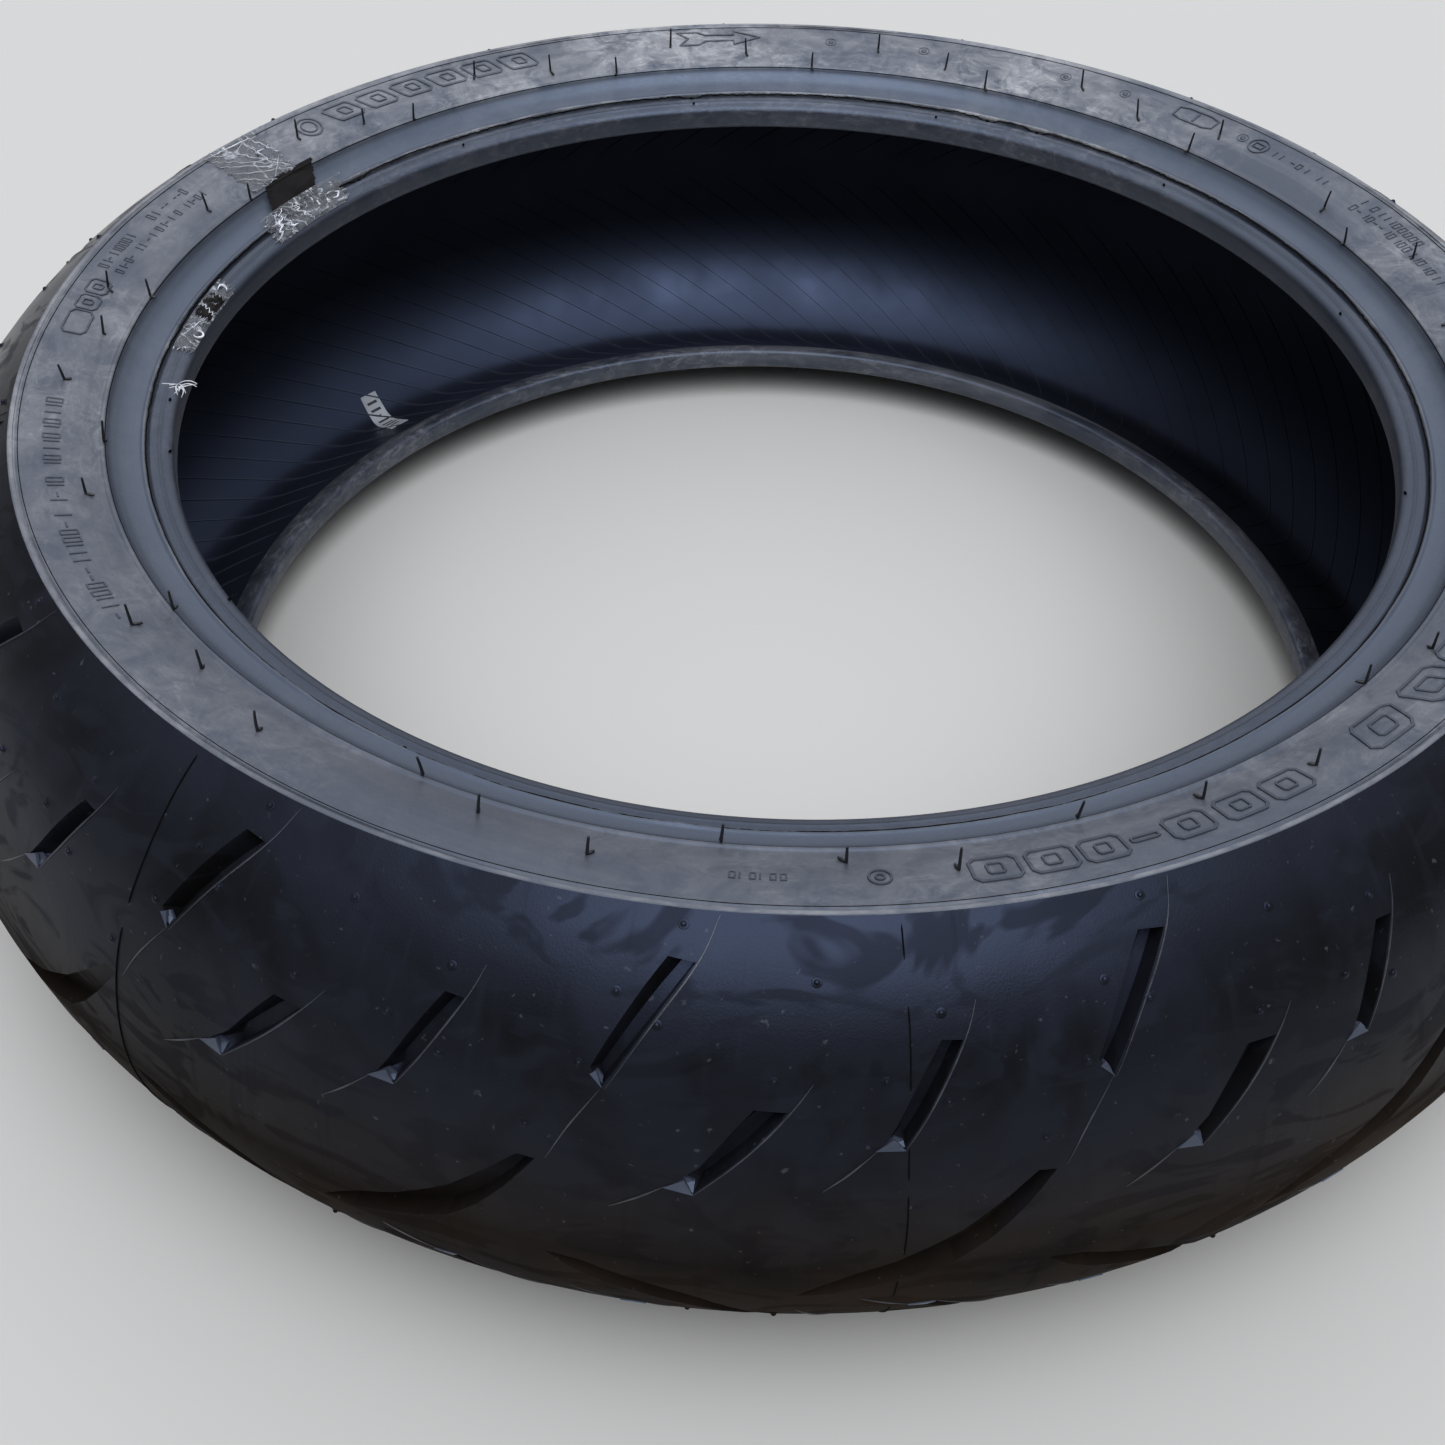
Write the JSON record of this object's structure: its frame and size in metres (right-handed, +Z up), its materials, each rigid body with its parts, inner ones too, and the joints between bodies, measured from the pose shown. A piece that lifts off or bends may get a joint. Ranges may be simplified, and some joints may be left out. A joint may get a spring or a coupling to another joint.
{
  "type": "motorcycle tire",
  "caption": "Rear radial tubeless motorcycle tire with a rounded grooved tread, tapered sidewalls, bead seats for a 17 inch rim, a hollow air chamber and layered belt, plies and bead rings",
  "frame": {"origin": "centre of the tire on the floor it lies on, under the lower tread edge", "axes": "+Z is up and is the spin axis; the tire lies on its side; +X and +Y are radial, and the tire is seen from the -Y side"},
  "size_m": [0.6299, 0.63, 0.1769],
  "materials": {
    "tread_rubber": "satin",
    "side_rubber": "satin",
    "chafer_rubber": "satin",
    "liner_rubber": "satin",
    "cushion_rubber": "matte",
    "filler_rubber": "matte",
    "ply_fabric": "matte",
    "wrap_fabric": "matte",
    "belt_cord": "matte",
    "bead_wire": "satin",
    "clear_film": "gloss",
    "label_paper": "matte"
  },
  "bodies": {
    "root": {"tread_cap": "tread_rubber", "tread_vent_nubs": "tread_rubber", "tread_base": "cushion_rubber", "jointless_belt": "belt_cord", "belt_edge_strip_upper": "cushion_rubber", "belt_edge_strip_lower": "cushion_rubber", "carcass_ply_outer": "ply_fabric", "carcass_ply_inner": "ply_fabric", "inner_liner": "liner_rubber", "bead_core_upper": "bead_wire", "bead_core_lower": "bead_wire", "bead_wrap_upper": "wrap_fabric", "bead_wrap_lower": "wrap_fabric", "bead_filler_upper": "filler_rubber", "bead_filler_lower": "filler_rubber", "chafer_upper": "chafer_rubber", "chafer_lower": "chafer_rubber", "sidewall_upper": "side_rubber", "sidewall_lower": "side_rubber", "vent_hairs_upper": "side_rubber", "vent_hairs_lower": "side_rubber", "wrap_film_long": "clear_film", "wrap_film_short": "clear_film", "inspection_label": "label_paper"}
  },
  "joints": []
}
